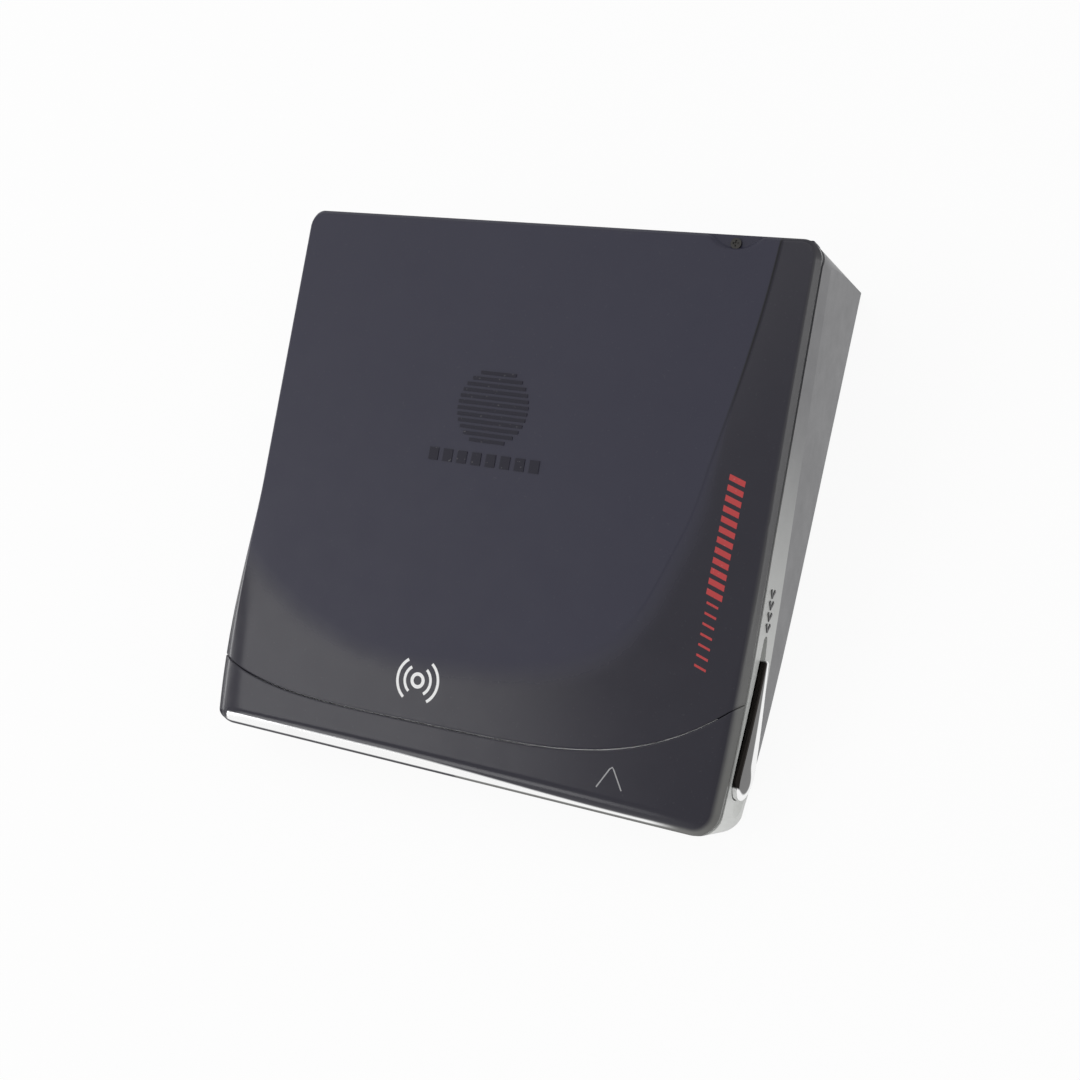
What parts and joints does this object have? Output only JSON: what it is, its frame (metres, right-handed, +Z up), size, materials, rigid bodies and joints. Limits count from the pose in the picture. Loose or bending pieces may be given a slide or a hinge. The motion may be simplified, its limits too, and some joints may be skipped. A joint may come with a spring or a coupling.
{
  "type": "portable minidisc player",
  "caption": "Wedge-shaped pocket disc player with a pop-up hinged lid, side catch, cartridge holder, disc drive and battery bay.",
  "frame": {"origin": "centre of the bounding box on the plane that the rubber feet stand on", "axes": "+Z up, +Y towards the thick hinged end, +X towards the side with the opening catch"},
  "size_m": [0.0836, 0.0818, 0.026],
  "materials": {
    "lid_shell": "matte painted dark blue-grey plastic, glossier past the crease",
    "case_shell": "satin dark grey moulded plastic",
    "button_plastic": "dark grey moulded plastic",
    "chrome": "bright chrome plating",
    "steel": "stamped and drawn steel",
    "pins": "ground steel",
    "screws": "blackened steel",
    "rubber": "black rubber",
    "inner_plastic": "black moulded plastic",
    "circuit_board": "green lacquered board",
    "contacts": "nickel-plated sheet and magnet",
    "pickup_metal": "die-cast zinc and aluminium",
    "lens_glass": "clear optical lens"
  },
  "bodies": {
    "case": {"case_body": "case_shell", "bottom_cover": "case_shell", "bottom_screws": "screws", "rubber_feet": "rubber", "battery_trough": "inner_plastic", "battery_plate": "steel", "battery_spring": "steel", "deck_plate": "steel", "deck_dampers": "rubber", "deck_screws": "screws", "guide_rods": "pins", "spindle_motor": "steel", "sled_motor": "steel", "screw_bracket": "steel", "main_board": "circuit_board", "board_chips": "inner_plastic", "board_screws": "screws", "phones_jack": "inner_plastic", "dc_jack": "inner_plastic", "dc_jack_pin": "pins", "control_board": "circuit_board", "dome_contacts": "contacts", "hold_switch": "inner_plastic", "bass_switch": "inner_plastic", "hinge_pins": "pins", "lid_springs": "steel", "holder_pins": "pins", "latch_spring": "steel"},
    "lid": {"lid_panel": "lid_shell", "front_cap": "lid_shell", "lid_plate": "steel", "lid_screw": "screws", "lid_hook": "steel"},
    "holder": {"cartridge_holder": "steel", "pressure_springs": "steel"},
    "open_slider": {"open_slider": "chrome", "latch_plate": "steel"},
    "play_button": {"play_button": "button_plastic"},
    "stop_button": {"stop_button": "button_plastic"},
    "previous_button": {"previous_button": "button_plastic"},
    "next_button": {"next_button": "button_plastic"},
    "volume_up_button": {"volume_up_button": "button_plastic"},
    "volume_down_button": {"volume_down_button": "button_plastic"},
    "hold_knob": {"hold_knob": "button_plastic"},
    "bass_knob": {"bass_knob": "button_plastic"},
    "battery_door": {"battery_door": "case_shell"},
    "turntable": {"turntable": "inner_plastic", "chucking_magnet": "contacts"},
    "sled": {"pickup_sled": "pickup_metal", "sled_nut": "inner_plastic"},
    "lens": {"lens_holder": "pickup_metal", "objective_lens": "lens_glass"},
    "lead_screw": {"lead_screw": "pins", "screw_gear": "inner_plastic"},
    "motor_pinion": {"motor_pinion": "inner_plastic"}
  },
  "joints": [
    {"name": "lid_hinge", "type": "hinge", "parent": "case", "child": "lid", "pos_m": [0.00045, 0.03436, 0.02206], "axis": [-1, 0, 0], "range_deg": [0, 28]},
    {"name": "holder_hinge", "type": "hinge", "parent": "case", "child": "holder", "pos_m": [0.00045, 0.03082, 0.01974], "axis": [-1, 0, 0], "range_deg": [0, 12.6]},
    {"name": "open_slide", "type": "slide", "parent": "case", "child": "open_slider", "axis": [0, 0.9836, 0.1805], "range_m": [0, 0.003], "stiffness_N_per_m": 150, "deforming": ["latch_spring"]},
    {"name": "previous_press", "type": "slide", "parent": "case", "child": "previous_button", "axis": [1, 0, 0], "range_m": [0, 0.0004], "stiffness_N_per_m": 800},
    {"name": "play_press", "type": "slide", "parent": "case", "child": "play_button", "axis": [1, 0, 0], "range_m": [0, 0.0004], "stiffness_N_per_m": 800},
    {"name": "next_press", "type": "slide", "parent": "case", "child": "next_button", "axis": [1, 0, 0], "range_m": [0, 0.0004], "stiffness_N_per_m": 800},
    {"name": "stop_press", "type": "slide", "parent": "case", "child": "stop_button", "axis": [1, 0, 0], "range_m": [0, 0.0004], "stiffness_N_per_m": 800},
    {"name": "volume_down_press", "type": "slide", "parent": "case", "child": "volume_down_button", "axis": [1, 0, 0], "range_m": [0, 0.0004], "stiffness_N_per_m": 800},
    {"name": "volume_up_press", "type": "slide", "parent": "case", "child": "volume_up_button", "axis": [1, 0, 0], "range_m": [0, 0.0004], "stiffness_N_per_m": 800},
    {"name": "hold_slide", "type": "slide", "parent": "case", "child": "hold_knob", "axis": [0, 0.9836, 0.1805], "range_m": [0, 0.0015]},
    {"name": "bass_slide", "type": "slide", "parent": "case", "child": "bass_knob", "axis": [1, 0, 0], "range_m": [0, 0.0015]},
    {"name": "battery_door_hinge", "type": "hinge", "parent": "case", "child": "battery_door", "pos_m": [0.00045, 0.03661, 0.0011], "axis": [1, 0, 0], "range_deg": [0, 95]},
    {"name": "turntable_spin", "type": "hinge", "parent": "case", "child": "turntable", "pos_m": [0.00045, -0.00481, 0.01116], "axis": [0, -0.1805, 0.9836], "continuous": true},
    {"name": "sled_slide", "type": "slide", "parent": "case", "child": "sled", "axis": [1, 0, 0], "range_m": [0, 0.016]},
    {"name": "lens_focus", "type": "slide", "parent": "sled", "child": "lens", "axis": [0, -0.1805, 0.9836], "range_m": [-0.0003, 0.0003], "stiffness_N_per_m": 40},
    {"name": "lead_screw_turn", "type": "hinge", "parent": "case", "child": "lead_screw", "pos_m": [0.00045, 0.00868, 0.00744], "axis": [1, 0, 0], "range_deg": [0, 2401]},
    {"name": "pinion_turn", "type": "hinge", "parent": "case", "child": "motor_pinion", "pos_m": [0.00045, 0.01436, 0.00695], "axis": [1, 0, 0], "range_deg": [-6723, 0]}
  ],
  "couplings": [
    {"joint": "holder_hinge", "follows": "lid_hinge", "ratio": 0.45},
    {"joint": "lead_screw_turn", "follows": "sled_slide", "rad_per_m": 2618},
    {"joint": "pinion_turn", "follows": "sled_slide", "rad_per_m": -7330.4}
  ]
}
